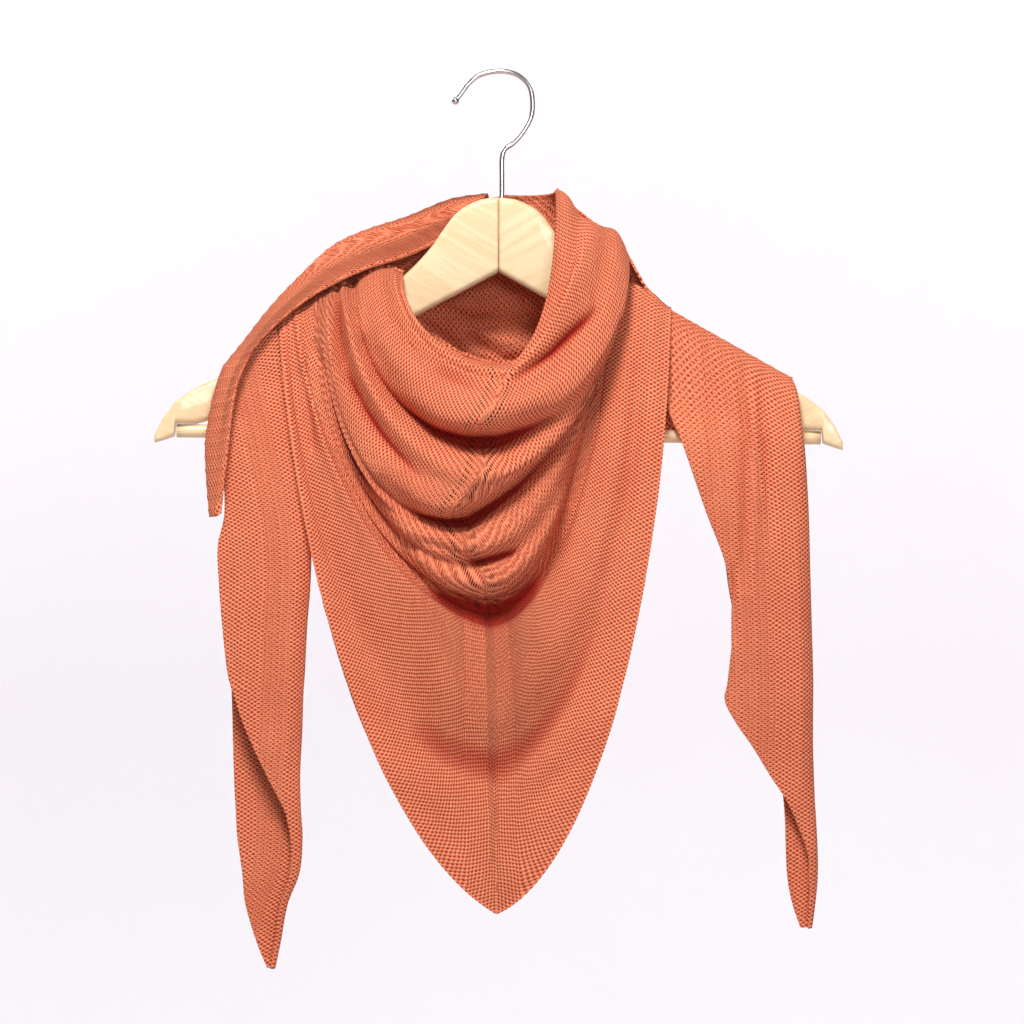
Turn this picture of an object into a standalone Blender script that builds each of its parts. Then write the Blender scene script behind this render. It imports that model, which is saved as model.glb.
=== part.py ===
"""A knitted triangular shawl draped on a wooden clothes hanger.

The shawl hangs as it is worn round a neck: the middle of its long side falls in front in a cowl,
the right-angled point hangs below it, and the two ends cross behind the hanger and come forward
over the opposite arm as folded tails. Sizes are in millimetres until a mesh is made. The origin
is where the hook rests on its support, +X is to the right, -Y to the front and +Z up.
"""

import bpy
import numpy as np

MILLIMETRE = 0.001
WALL = 1.6  # thickness of the knitted cloth
SEAM = 0.4  # gap between neighbouring pieces
REST = WALL / 2 + 2.0  # from the middle of the wall to what it rests on

# Hanger
HANGER_CENTRE = 1.2
HANGER_TILT = 0.011  # how far the right arm hangs down for each millimetre outwards
ARM_THICKNESS = 12.0
ARM_SWEEP = 25.0  # how far the arm's end stands forward of its middle
ARM_LENGTH = 219.5
ARM_BEND = 4.5  # height over which cloth bends from the arm's top to its face
BAR_RADIUS = 4.3
BAR_LENGTH = 412.0
BAR_HEIGHT = -233.3
BAR_FORWARD = -20.0
WIRE_RADIUS = 1.65
HOOK_BALL_RADIUS = 2.3

# Colours, linear
TERRACOTTA = (0.56, 0.135, 0.062)
MAPLE = (0.86, 0.72, 0.47)
CHROME = (0.62, 0.6, 0.6)

# Arm outline: distance from the centre, top, bottom
ARM = (
    (0, -80, -128),
    (10, -81, -133.5),
    (20, -85, -139),
    (28, -91, -143.5),
    (35, -100, -147),
    (43, -111.5, -151.5),
    (52, -122, -156.5),
    (62, -132, -161.5),
    (100, -153.5, -181.5),
    (140, -176, -203),
    (182, -200, -225.5),
    (194, -205.5, -228.7),
    (206.6, -214.5, -228.7),
    (207.2, -215, -237),
    (214, -224, -239.5),
    (219.5, -236, -241),
)

# Centre line of the hook, from its stem up and over to the ball
HOOK = (
    (3.2, -79.6),
    (3.2, -66),
    (3.2, -55),
    (5.2, -48.6),
    (11.5, -44),
    (18.8, -34.5),
    (22.8, -24),
    (21.6, -9.5),
    (14.5, -1.5),
    (6, 1.5),
    (-3, 1.4),
    (-12, -1.2),
    (-18.5, -6.5),
    (-23, -12.5),
    (-28.4, -19.4),
)

# Fold lines of the cowl, from the neck edge down. Each crosses both arms and hangs between them:
# left x, lift above the arm; lowest point x, y, z; right x, lift; fullness left, right (0 is a
# straight line, 1 a round one); inward dip halfway up the left and the right side
COWL = (
    (-57.5, 5.5, 2, -46, -191, 38, 28, 0.95, 1.1, 0, 3),
    (-60.5, 6.5, 3, -57, -194, 45, 34, 0.95, 1.05, 0, 4),
    (-63.5, 7, 5, -60, -201, 53, 31, 0.95, 0.75, 1, 3),
    (-67, 8.5, 4, -67, -201, 62, 34.5, 0.92, 0.4, 2, -1),
    (-71, 10.5, 0, -72, -208, 68, 36, 0.95, 1.0, 3, 3),
    (-77, 13, -3, -84, -217, 77, 38, 0.95, 1.05, 0, 0),
    (-87, 13, -12, -82, -228, 84, 27.5, 1.05, 1.05, 0, -2),
    (-91, 9.5, -9, -60, -237, 83.5, 22, 1.0, 1.0, 4, 0),
    (-95, 11.5, -10, -66, -247, 82, 20.5, 0.9, 1.0, 0, 2.5),
    (-99, 15.5, -12, -80, -260, 80.5, 19.3, 0.85, 0.96, -3, 4),
    (-102, 13.5, -18, -80, -268, 79, 18.4, 0.9, 0.92, 6, 5.5),
    (-105, 16.5, -22, -79, -274, 77.5, 17.6, 1.0, 0.86, 0, 6.5),
    (-107.5, 18, -28, -76, -281, 75, 17, 1.12, 0.8, 0, 7.5),
    (-109.5, 17, -28, -60, -289, 73.5, 16.2, 1.06, 0.85, 0, 8),
    (-111.5, 18, -22, -66, -297, 72, 15.5, 1.08, 0.9, 0, 9),
    (-113, 18.5, -20, -73, -308, 69.8, 14.8, 1.05, 0.95, 0, 10),
    (-114.5, 17.5, -14, -62, -317, 68, 13.8, 1.0, 1.0, 1, 11),
    (-116, 18.5, -8, -68, -327, 66.5, 12.2, 1.0, 1.0, 0, 12.5),
    (-117.5, 18, -8, -60, -335, 65.6, 10.6, 0.95, 1.0, 0, 13.5),
    (-119, 17, -7, -46, -338, 66.4, 9.2, 0.92, 1.0, 0, 15),
)

# Fold lines of the front point, from the pocket behind the cowl down to the lower edge
POINT = (
    (-123, 16.5, -6, -43, -345, 69.2, 8.4, 0.87, 1.0, 0, 15.5),
    (-126.5, 17, -5, -51, -354, 72.5, 8.4, 0.8, 0.97, 0, 15),
    (-129.5, 19, -4, -63, -360, 75, 9.5, 0.75, 0.93, -3, 12),
    (-131.5, 17.5, -3, -69, -385, 82, 10, 0.72, 0.87, -2, 6),
    (-133.5, 18.5, -2, -70, -412, 89, 11, 0.75, 0.84, -2, 2),
    (-135.5, 17.5, -2, -61, -442, 95, 11.5, 0.8, 0.9, -3, 0),
    (-137, 18, -1, -66, -478, 101, 11.5, 0.75, 0.85, -8, -5),
    (-138, 17, 0, -68, -512, 107, 9, 0.72, 0.82, -12, -7),
    (-139, 15, 0, -65, -535, 111.5, 8, 0.7, 0.82, -13, -8),
)

# Where the outer back cloth crosses the right arm: x, lift above the arm
BACK_ON_ARM = (
    (38, 28),
    (54, 33.5),
    (70, 36.5),
    (77, 36),
    (88, 23),
    (95.5, 14),
    (104, 10),
    (111.5, 8),
)

# Sections of the band over the left arm, from the neck outwards and down:
# rear x, y, z; crown x, y, z; front edge x, y, z
BAND = (
    (-6, 22, -88, -6, 18, -76.5, -20, 9, -98),
    (-30, 22, -94, -30, 17, -80.5, -40, 9, -109),
    (-58, 22, -105, -58, 10, -92.5, -60, -2, -119),
    (-84, 20, -117, -84, 5, -101.5, -84, -12, -127.5),
    (-106, 16, -131, -106, 1, -112.5, -104, -17, -137),
    (-128, 10, -149, -128, -4, -133.5, -122, -21, -148),
    (-146, 4, -166, -146, -9, -153.5, -140, -26, -163),
    (-160, 0, -181, -162.5, -15, -175.5, -153, -31, -177),
    (-168, -8, -187.5, -169.5, -20, -184.5, -159, -33, -188),
    (-172.5, -18, -190.5, -173.8, -26, -191, -161.5, -36, -194),
    (-176, -26, -198, -177, -31, -201.5, -164, -39, -201),
    (-180, -29, -216, -181.5, -35, -220, -167, -43, -218),
    (-182, -31, -240, -183.5, -38, -240, -169, -47, -238),
    (-181, -33, -262, -182.5, -42, -262, -171.5, -50, -262),
    (-179.5, -35, -286, -180.5, -44, -286, -174, -51, -284),
)
BAND_SECTIONS_ON_BACK = 8  # how many of these sections the back cloth hangs from
BACK_BEHIND_BAND = (0, 0.55, 5)  # from the band's rear edge to the top of the back cloth

INNER_BACK_RAISED = 1.5  # how much higher the inner back cloth crosses the left arm than the front

# Sections of the tails, from the arm down to the tip. A tail is folded lengthwise: the fold's
# x, y, z; the front leaf's free edge x, y, z; the back leaf's free edge x; the fold's radius;
# lean, 1 where the leaves lie above each other and 0 where the back leaf is behind
LEFT_TAIL = (
    (-141.5, -20.4, -165, -161.5, -23.2, -181, -149, 1.5, 0),
    (-136, -21, -193, -168, -28, -203, -148, 1.5, 0),
    (-133.5, -25, -208, -173, -32, -216, -150, 2, 0),
    (-127.5, -33, -240, -174, -38, -244, -152, 3, 0),
    (-120.5, -41, -280, -172.5, -41.5, -283, -156, 6, 0),
    (-118.5, -45, -303, -176.5, -44, -305, -160, 8, 0),
    (-119, -49, -330, -175.3, -47, -331, -165, 10, 0),
    (-121, -50, -355, -173.2, -48, -356, -170, 11, 0),
    (-122.5, -50, -384, -170, -49, -384, -169.7, 12, 0),
    (-123.5, -50, -398, -166, -50, -398, -169.2, 12, 0),
    (-124.3, -50, -424, -157, -50, -424, -168.5, 12, 0),
    (-125.5, -49, -450, -145, -49, -450, -167.5, 10, 0),
    (-125, -47, -472, -134, -47, -472, -166.3, 8, 0),
    (-124, -45, -490, -128.5, -45, -490, -165, 6, 0),
    (-126, -42, -512, -130, -42, -512, -162, 4.5, 0),
    (-133.5, -40, -532, -137, -40, -532, -160, 3.5, 0),
    (-138, -38, -556, -141, -38, -556, -153, 2.5, 0),
    (-141.5, -37, -573, -143.5, -37, -573, -146, 1.8, 0),
)
RIGHT_TAIL = (
    (189, -19.5, -198, 113.4, -8.6, -154.5, 176, 1.5, 1),
    (191, -30, -206, 109.5, -16.2, -168, 176, 1.6, 0.3),
    (193, -40, -226, 108.5, -25, -212, 178, 4, 0),
    (195, -46, -245, 118, -40, -240, 179, 7, 0),
    (197, -50, -282, 132, -49, -282, 179, 9, 0),
    (198, -52, -318, 145, -51, -318, 178, 11, 0),
    (199, -52, -352, 149, -52, -352, 177, 12, 0),
    (200, -52, -388, 146, -52, -388, 177, 12, 0),
    (200, -52, -402, 144, -52, -402, 178, 12, 0),
    (200, -51, -416, 151, -51, -416, 179, 12, 0),
    (200, -50, -432, 162, -50, -432, 180, 11, 0),
    (200.5, -49, -450, 173, -49, -450, 181, 10, 0),
    (201, -48, -465, 183, -48, -465, 182.5, 8, 0),
    (202, -46, -480, 190, -46, -480, 183.5, 6.5, 0),
    (203, -44, -500, 197, -44, -500, 184, 5, 0),
    (203, -42, -516, 198, -42, -516, 185, 4, 0),
    (201.5, -41, -532, 198, -41, -532, 188, 3, 0),
    (199.5, -40, -547, 197.5, -40, -547, 193, 1.8, 0),
)

# Pressed folds: from x, z to x, z; half width; depth, inwards where positive
LEFT_TAIL_FOLDS = (
    (-152, -215, -140, -420, 6, 3),
    (-163, -300, -158, -420, 5, -2),
)
RIGHT_TAIL_FOLDS = (
    (133, -180, 140, -270, 4, 3),
    (158, -190, 156, -330, 3.5, 3.5),
    (163, -195, 162, -320, 3, -2),
    (169, -195, 172, -300, 3.5, 3.5),
    (150, -318, 148, -365, 3, 4),
)


def clear_scene():
    for item in list(bpy.data.objects):
        bpy.data.objects.remove(item, do_unlink=True)


def material(name, colour, roughness, metallic=0.0):
    made = bpy.data.materials.new(name)
    made.use_nodes = True
    shader = made.node_tree.nodes["Principled BSDF"]
    shader.inputs["Base Color"].default_value = (*colour, 1)
    shader.inputs["Roughness"].default_value = roughness
    shader.inputs["Metallic"].default_value = metallic
    return made


def add_object(name, points, faces, finish):
    """A mesh object from points in millimetres, with its faces turned outwards."""
    points = np.asarray(points, float) * MILLIMETRE
    faces = [tuple(int(i) for i in face) for face in faces]
    triangles = np.array([(f[0], f[i], f[i + 1]) for f in faces for i in range(1, len(f) - 1)])
    a, b, c = (points[triangles[:, i]] for i in range(3))
    if np.einsum("ij,ij->i", a, np.cross(b, c)).sum() < 0:
        faces = [face[::-1] for face in faces]
    mesh = bpy.data.meshes.new(name)
    mesh.from_pydata(points.tolist(), [], faces)
    mesh.materials.append(finish)
    mesh.shade_smooth()
    mesh.set_sharp_from_angle(angle=np.radians(50))
    made = bpy.data.objects.new(name, mesh)
    bpy.context.scene.collection.objects.link(made)
    return made


def spline(rows, at):
    """A Catmull-Rom curve through rows, read at positions from 0 to the last row's number."""
    rows = np.asarray(rows, float)
    at = np.asarray(at, float)
    last = len(rows) - 1
    i = np.clip(np.floor(at).astype(int), 0, last - 1)
    t = (at - i).reshape(-1, *[1] * (rows.ndim - 1))
    before, a = rows[np.maximum(i - 1, 0)], rows[i]
    b, after = rows[i + 1], rows[np.minimum(i + 2, last)]
    curve = 2 * a + (b - before) * t
    curve += (2 * before - 5 * a + 4 * b - after) * t**2
    curve += (3 * a - before - 3 * b + after) * t**3
    return curve / 2


def through(rows, steps):
    """The spline through rows with a number of steps from each row to the next."""
    return spline(rows, np.linspace(0, len(rows) - 1, steps * (len(rows) - 1) + 1))


def grid_faces(start, rows, columns):
    """Quads between the points of a grid that is numbered row by row."""
    at = start + np.arange(rows * columns).reshape(rows, columns)
    corners = at[:-1, :-1], at[:-1, 1:], at[1:, 1:], at[1:, :-1]
    return np.stack(corners, axis=-1).reshape(-1, 4)


def normals(middle, level_ends=()):
    """Unit normals of a grid of points, square to Y in the columns where pieces meet on an arm."""
    normal = np.cross(np.gradient(middle, axis=1), np.gradient(middle, axis=0))
    for column in level_ends:
        normal[:, column, 1] = 0
    return normal / np.linalg.norm(normal, axis=2, keepdims=True)


def cloth(name, middle, normal, finish):
    """A wall of cloth: the grid in the middle of the wall is moved out to both faces and closed."""
    rows, columns = middle.shape[:2]
    outer = (middle + normal * WALL / 2).reshape(-1, 3)
    inner = (middle - normal * WALL / 2).reshape(-1, 3)
    count = rows * columns
    at = np.arange(count).reshape(rows, columns)
    edge = np.concatenate([at[0, :-1], at[:-1, -1], at[-1, :0:-1], at[:0:-1, 0]])
    after = np.roll(edge, -1)
    faces = list(grid_faces(0, rows, columns)[:, ::-1])
    faces += list(grid_faces(count, rows, columns))
    faces += list(np.stack([edge, after, after + count, edge + count], axis=1))
    return add_object(name, np.concatenate([outer, inner]), faces, finish)


def split_cloth(name_above, name_below, grid, row, finish):
    """One surface cut along a row into two pieces with a seam's gap between them."""
    normal = normals(grid, (0, -1))
    below = grid[row:].copy()
    step = grid[row + 1] - grid[row]
    along = np.gradient(grid[row], axis=0)
    along /= np.linalg.norm(along, axis=1, keepdims=True)
    across = step - along * np.sum(step * along, axis=1, keepdims=True)
    below[0] += step * (SEAM / np.linalg.norm(across, axis=1, keepdims=True)).clip(0, 0.9)
    cloth(name_above, grid[: row + 1], normal[: row + 1], finish)
    cloth(name_below, below, normal[row:], finish)


def arm_top(x):
    distance, top, _ = np.transpose(ARM)
    away = np.asarray(x, float) - HANGER_CENTRE
    return np.interp(np.abs(away), distance, top) - HANGER_TILT * away


def arm_middle(x):
    return -ARM_SWEEP * ((np.asarray(x, float) - HANGER_CENTRE) / ARM_LENGTH) ** 2


def hang(end, low, fullness, dip, depth, quickness, u):
    """Fold lines from their ends, at u = 0, to their lowest points, at u = 1.

    In the front view each is a blend of a straight line and a quarter ellipse. From the side it
    leaves the arm to the common depth, the quicker the smaller the power, and its own fold grows
    with the square of the way. Points are closer together near the arm.
    """
    t = u**1.5
    angle = t * np.pi / 2
    straight, round_x, round_z = t, 1 - np.cos(angle), np.sin(angle)
    f = fullness[:, None]
    x = end[:, 0, None] + (low[:, 0] - end[:, 0])[:, None] * ((1 - f) * straight + f * round_x)
    z = end[:, 2, None] + (low[:, 2] - end[:, 2])[:, None] * ((1 - f) * straight + f * round_z)
    y = end[:, 1, None] + (depth - end[:, 1])[:, None] * np.sin(angle) ** quickness
    y = y + (low[:, 1] - depth)[:, None] * t**2.3
    y = y + dip[:, None] * np.sin(np.pi * t**0.7)
    return np.stack([x, y, z], axis=2)


def crest(x, lift, side):
    """Points above the top of the arm, half a seam in front of its middle or behind it."""
    y = arm_middle(x) + side * SEAM / 2
    return np.stack([x, y, arm_top(x) + lift], axis=1)


def clear_of_hanger(points, side):
    """Keeps cloth off the hanger, in front of it (side -1) or behind: it bends over the arm."""
    points = points.copy()
    x, y, z = np.moveaxis(points, -1, 0)
    below = (arm_top(x) + REST - z).clip(0, ARM_BEND) / ARM_BEND
    reach = (ARM_THICKNESS / 2 + REST) * (1 - (1 - below) ** 2.6) ** (1 / 2.6)
    limit = arm_middle(x) + side * reach
    if side < 0:
        bar_front = BAR_FORWARD - BAR_RADIUS - REST
        near_bar = ((BAR_HEIGHT + 40 - z) / 30).clip(0, 1)
        limit = np.minimum(limit, limit + (bar_front - limit) * near_bar)
    points[..., 1] = np.where(side * (limit - y) > 0, limit, y)
    return points


def front_lines(steps):
    """The fold lines of the whole front, one row for each, neck edge to lower edge."""
    table = np.array(COWL + POINT, float)
    left_x, left_lift, low_x, low_y, low_z, right_x, right_lift = table[:, :7].T
    full_left, full_right, dip_left, dip_right = table[:, 7:].T
    low = np.stack([low_x, low_y, low_z], axis=1)
    u = np.linspace(0, 1, steps + 1)
    left = hang(crest(left_x, left_lift, -1), low, full_left, dip_left, -60.0, 0.52, u)
    right = hang(crest(right_x, right_lift, -1), low, full_right, dip_right, -60.0, 0.52, u[:-1])
    return np.concatenate([left, right[:, ::-1]], axis=1)


def back_lines(left, low_first, low_last, right, pleats, quick_left, steps):
    """Fold lines that hang behind the hanger, their lowest points in a row with round pleats."""
    count = len(left)
    share = np.linspace(0, 1, count)[:, None]
    low = np.array(low_first) * (1 - share) + np.array(low_last) * share
    low[:, 1] += pleats * np.sin(np.pi * np.arange(count) / 2)
    depth = (low_first[1] + low_last[1]) / 2
    full, flat = np.linspace(1.0, 0.85, count), np.zeros(count)
    u = np.linspace(0, 1, steps + 1)
    left_half = hang(left, low, full, flat, depth, quick_left, u)
    right_half = hang(right, low, full, flat, depth, 0.52, u[:-1])
    return np.concatenate([left_half, right_half[:, ::-1]], axis=1)


def press(points, folds):
    """Presses soft folds into the points that face forwards, along straight lines in x and z."""
    points = points.copy()
    place = points[..., (0, 2)]
    for x0, z0, x1, z1, width, depth in folds:
        start, run = np.array([x0, z0]), np.array([x1 - x0, z1 - z0])
        share = ((place - start) @ run / (run @ run)).clip(0, 1)
        away = np.linalg.norm(place - start - share[..., None] * run, axis=-1)
        swell = np.sin(np.pi * (0.08 + 0.84 * share)) ** 0.5
        points[..., 1] += depth * swell * np.exp(-((away / width) ** 2))
    return points


def tail(rows, folds, steps_down, steps_across):
    """A ribbon folded lengthwise: back leaf, round fold, front leaf, for each section."""
    rows = through(rows, steps_down)
    fold, edge, back_x = rows[:, 0:3], rows[:, 3:6], rows[:, 6]
    radius, lean = np.maximum(rows[:, 7], 1.4), rows[:, 8].clip(0, 1)
    side = np.sign(fold[:, 0] - edge[:, 0])
    back_leaf = np.maximum(side * (fold[:, 0] - back_x) - radius, 1.0)
    front_leaf = np.maximum(side * (fold[:, 0] - edge[:, 0]) - radius, 0.5)
    length = back_leaf + np.pi * radius + front_leaf
    s = np.linspace(0, 1, steps_across + 1)[None, :] * length[:, None]
    turn = ((s - back_leaf[:, None]) / radius[:, None]).clip(0, np.pi)
    past = (s - (back_leaf + np.pi * radius)[:, None]).clip(0, None)
    before = (back_leaf[:, None] - s).clip(0, None)
    inwards = radius[:, None] * (1 - np.sin(turn)) + before + past
    behind = radius[:, None] * (1 + np.cos(turn))
    slope = (edge - fold) / np.abs(edge[:, :1] - fold[:, :1])
    points = fold[:, None, :] + inwards[..., None] * slope[:, None, :]
    tilt = lean[:, None] * np.pi / 2
    points[..., 1] += behind * np.cos(tilt)
    points[..., 2] -= behind * np.sin(tilt)
    front = (turn > np.pi / 2)[..., None]
    return np.where(front, press(points, folds), points)


def band(steps_down, steps_across):
    """The band over the left arm: rear edge, crown, bulging front and lower edge."""
    rows = through(BAND, steps_down)
    rear, crown, edge = rows[:, 0:3], rows[:, 3:6], rows[:, 6:9]
    shoulder = crown * 0.5 + edge * 0.5 + (edge - rear) * (0.14, 0.2, 0)
    return through(np.stack([rear, crown, shoulder, edge]), steps_across)


def make_hook(finish):
    """Round wire bent to a hook, its free end swollen to a ball."""
    middle = through(HOOK, 2)
    count = len(middle)
    direction = np.gradient(middle, axis=0)
    direction /= np.linalg.norm(direction, axis=1, keepdims=True)
    side = np.stack([-direction[:, 1], direction[:, 0]], axis=1)
    to_end = np.linalg.norm(middle - middle[-1], axis=1)
    radius = np.where(to_end < 3.5, HOOK_BALL_RADIUS, WIRE_RADIUS)
    radius[-1] = HOOK_BALL_RADIUS * 0.6
    angle = np.linspace(0, 2 * np.pi, 9)[:-1]
    spread = radius[:, None] * np.cos(angle)
    points = np.zeros((count, len(angle), 3))
    points[..., 0] = middle[:, :1] + side[:, :1] * spread
    points[..., 1] = radius[:, None] * np.sin(angle)
    points[..., 2] = middle[:, 1:] + side[:, 1:] * spread
    return closed_tube("hook", points, finish)


def closed_tube(name, rings, finish):
    """Rings joined to a skin with a flat cap on both ends."""
    count, around = rings.shape[:2]
    at = np.arange(count * around).reshape(count, around)
    after = np.roll(at, -1, axis=1)
    faces = list(np.stack([at[:-1], after[:-1], after[1:], at[1:]], axis=-1).reshape(-1, 4))
    faces += [at[0][::-1], at[-1]]
    return add_object(name, rings.reshape(-1, 3), faces, finish)


def make_arm(name, side, finish):
    """One half of the hanger: rounded rectangles from the middle joint to the swept-forward end."""
    table = np.array(ARM, float)
    at = np.unique(np.concatenate([table[:, 0], np.arange(80, 180, 30)]))
    at[0] = SEAM / 2
    top = np.interp(at, table[:, 0], table[:, 1])
    bottom = np.interp(at, table[:, 0], table[:, 2])
    angle = np.radians([5, 45, 85, 95, 135, 175])
    angle = np.concatenate([angle, angle + np.pi])
    corner_y, corner_z = np.cos(angle), np.sin(angle)
    thick = ARM_THICKNESS / 2
    round_y = np.minimum(4.0, (top - bottom) * 0.4)
    thin = np.interp(at, (0, 205, ARM_LENGTH), (thick, thick, thick * 0.55))
    rings = np.zeros((len(at), len(angle), 3))
    x = HANGER_CENTRE + side * at
    rings[..., 0] = x[:, None]
    inset = thin[:, None] - np.minimum(round_y, thin * 0.8)[:, None]
    rings[..., 1] = np.sign(corner_y) * inset + corner_y * (thin[:, None] - inset)
    rings[..., 1] += arm_middle(x)[:, None]
    half, middle = ((top - bottom) / 2)[:, None], ((top + bottom) / 2)[:, None]
    flat = half - round_y[:, None]
    rings[..., 2] = middle + np.sign(corner_z) * flat + corner_z * (half - flat)
    rings[..., 2] -= HANGER_TILT * (x - HANGER_CENTRE)[:, None]
    return closed_tube(name, rings, finish)


def make_bar(finish):
    """The round bar between the ends of the arms."""
    at = np.linspace(-0.5, 0.5, 9) * BAR_LENGTH
    angle = np.linspace(0, 2 * np.pi, 17)[:-1]
    rings = np.zeros((len(at), len(angle), 3))
    rings[..., 0] = (HANGER_CENTRE + at)[:, None]
    rings[..., 1] = BAR_FORWARD + BAR_RADIUS * np.cos(angle)
    rings[..., 2] = BAR_HEIGHT + BAR_RADIUS * np.sin(angle) - HANGER_TILT * at[:, None]
    return closed_tube("trouser_bar", rings, finish)


clear_scene()
knit = material("terracotta_knit", TERRACOTTA, 0.9)
wood = material("maple_wood", MAPLE, 0.45)
metal = material("chromed_wire", CHROME, 0.2, 1.0)

make_hook(metal)
make_arm("hanger_arm_left", -1, wood)
make_arm("hanger_arm_right", 1, wood)
make_bar(wood)

front = clear_of_hanger(through(front_lines(13), 2), -1)
split_cloth("neck_cowl", "front_point", front, 2 * len(COWL) + 1, knit)

for name, grid in (
    ("left_band", band(1, 3)),
    ("left_tail", tail(LEFT_TAIL, LEFT_TAIL_FOLDS, 1, 20)),
    ("right_tail", tail(RIGHT_TAIL, RIGHT_TAIL_FOLDS, 1, 24)),
):
    cloth(name, grid, normals(grid), knit)

every_other = np.array(COWL + POINT, float)[::2]
share = np.linspace(0, 1, len(every_other))[:, None]

inner_left = crest(every_other[:, 0], every_other[:, 1] + INNER_BACK_RAISED, 1)
tail_fold, tail_edge = np.array(RIGHT_TAIL[0][:3]), np.array(RIGHT_TAIL[0][3:6])
inner_right = tail_edge * (1 - share) + tail_fold * share + (0, SEAM, 0)
inner = back_lines(inner_left, (20, 12, -188), (20, 22, -245), inner_right, 2.0, 0.52, 11)
inner = clear_of_hanger(inner, 1)
cloth("back_cross_inner", inner, normals(inner, (0, -1)), knit)

on_arm = spline(BACK_ON_ARM, share[:, 0] * (len(BACK_ON_ARM) - 1))
outer_right = crest(on_arm[:, 0], on_arm[:, 1], 1)
rear_edge = np.array(BAND)[:BAND_SECTIONS_ON_BACK, 0:3]
outer_left = spline(rear_edge, share[:, 0] * (BAND_SECTIONS_ON_BACK - 1))
outer_left += BACK_BEHIND_BAND
outer = back_lines(outer_left, (5, 28, -76), (-30, 40, -212), outer_right, 2.5, 1.0, 11)
outer = clear_of_hanger(outer, 1)
cloth("back_cross_outer", outer, normals(outer, (-1,)), knit)
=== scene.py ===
"""A knitted triangular shawl draped on a wooden clothes hanger.

Points are worked out in millimetres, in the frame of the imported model: the hook's resting point
is the origin, +X is to the right, -Y to the front and +Z up.
"""

import bpy
import numpy as np
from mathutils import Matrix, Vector


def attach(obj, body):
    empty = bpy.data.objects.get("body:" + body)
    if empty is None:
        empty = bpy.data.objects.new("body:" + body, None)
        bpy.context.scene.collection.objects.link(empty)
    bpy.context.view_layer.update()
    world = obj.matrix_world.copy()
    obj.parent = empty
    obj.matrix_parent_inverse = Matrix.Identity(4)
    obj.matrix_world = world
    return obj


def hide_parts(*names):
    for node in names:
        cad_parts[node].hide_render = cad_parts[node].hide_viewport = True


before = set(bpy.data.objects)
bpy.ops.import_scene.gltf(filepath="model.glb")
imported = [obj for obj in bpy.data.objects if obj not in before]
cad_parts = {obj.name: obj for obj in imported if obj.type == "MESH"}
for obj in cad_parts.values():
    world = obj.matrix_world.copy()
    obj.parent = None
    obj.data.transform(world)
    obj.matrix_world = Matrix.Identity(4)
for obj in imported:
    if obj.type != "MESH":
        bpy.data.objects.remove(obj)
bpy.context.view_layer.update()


# The hook: round steel wire bent to an open hook, its tip turned to a small ball, chromed and
# polished. The stem is screwed into the top of the hanger.
MILLIMETRE = 0.001  # in metres
WIRE_RADIUS = 1.65
WIRE_SIDES = 24
BALL_RADIUS = 2.5
TIP_LENGTH = 5.0  # stretch with close rings, round which the ball is formed
CHROME_TINT = (0.66, 0.62, 0.6, 1)
# The centre line's x and z, from the stem's foot to the tip
HOOK = (
    (3.2, -82),
    (3.2, -66),
    (3.2, -55),
    (5.2, -48.6),
    (11.5, -44),
    (18.8, -34.5),
    (22.8, -24),
    (21.6, -9.5),
    (14.5, -1.5),
    (6, 1.5),
    (-3, 1.4),
    (-12, -1.2),
    (-18.5, -6.5),
    (-23, -12.5),
    (-28.4, -19.4),
)


def spline(rows, at):
    """A Catmull-Rom curve through rows, read at positions from 0 to the last row's number."""
    rows = np.asarray(rows, float)
    at = np.asarray(at, float)
    last = len(rows) - 1
    i = np.clip(np.floor(at).astype(int), 0, last - 1)
    t = (at - i).reshape(-1, *[1] * (rows.ndim - 1))
    before, a = rows[np.maximum(i - 1, 0)], rows[i]
    b, after = rows[i + 1], rows[np.minimum(i + 2, last)]
    curve = 2 * a + (b - before) * t
    curve += (2 * before - 5 * a + 4 * b - after) * t**2
    curve += (3 * a - before - 3 * b + after) * t**3
    return curve / 2


def through(rows, steps):
    """The spline through rows with a number of steps from each row to the next."""
    return spline(rows, np.linspace(0, len(rows) - 1, steps * (len(rows) - 1) + 1))


def unit(vectors):
    """Vectors brought to length 1."""
    return vectors / np.maximum(np.linalg.norm(vectors, axis=-1, keepdims=True), 1e-9)


def add_piece(name, points, faces, finish, stands_for):
    """A smooth-shaded mesh object from points in millimetres that stands for a CAD node."""
    points = points * MILLIMETRE
    a, b, c = (points[faces[:, i]] for i in range(3))
    d = points[faces[:, -1]]
    volume = np.einsum("ij,ij->i", a, np.cross(b, c)) + np.einsum("ij,ij->i", a, np.cross(c, d))
    if volume.sum() < 0:
        faces = faces[:, ::-1]
    mesh = bpy.data.meshes.new(name)
    mesh.from_pydata(points.tolist(), [], faces.tolist())
    mesh.materials.append(finish)
    mesh.shade_smooth()
    piece = bpy.data.objects.new(name, mesh)
    bpy.context.scene.collection.objects.link(piece)
    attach(piece, "root")
    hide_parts(stands_for)
    return piece


def tube_faces(count, around):
    """Quads round a skin of rings, and a fan of narrow quads over both ends."""
    at = np.arange(count * around).reshape(count, around)
    after = np.roll(at, -1, axis=1)
    skin = np.stack([at[:-1], after[:-1], after[1:], at[1:]], axis=-1).reshape(-1, 4)
    half = around // 2
    i = np.arange(half - 1)
    cap = np.stack([i, i + 1, around - 2 - i, around - 1 - i], axis=1)
    return np.concatenate([skin, cap[:, ::-1], cap + (count - 1) * around])


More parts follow.
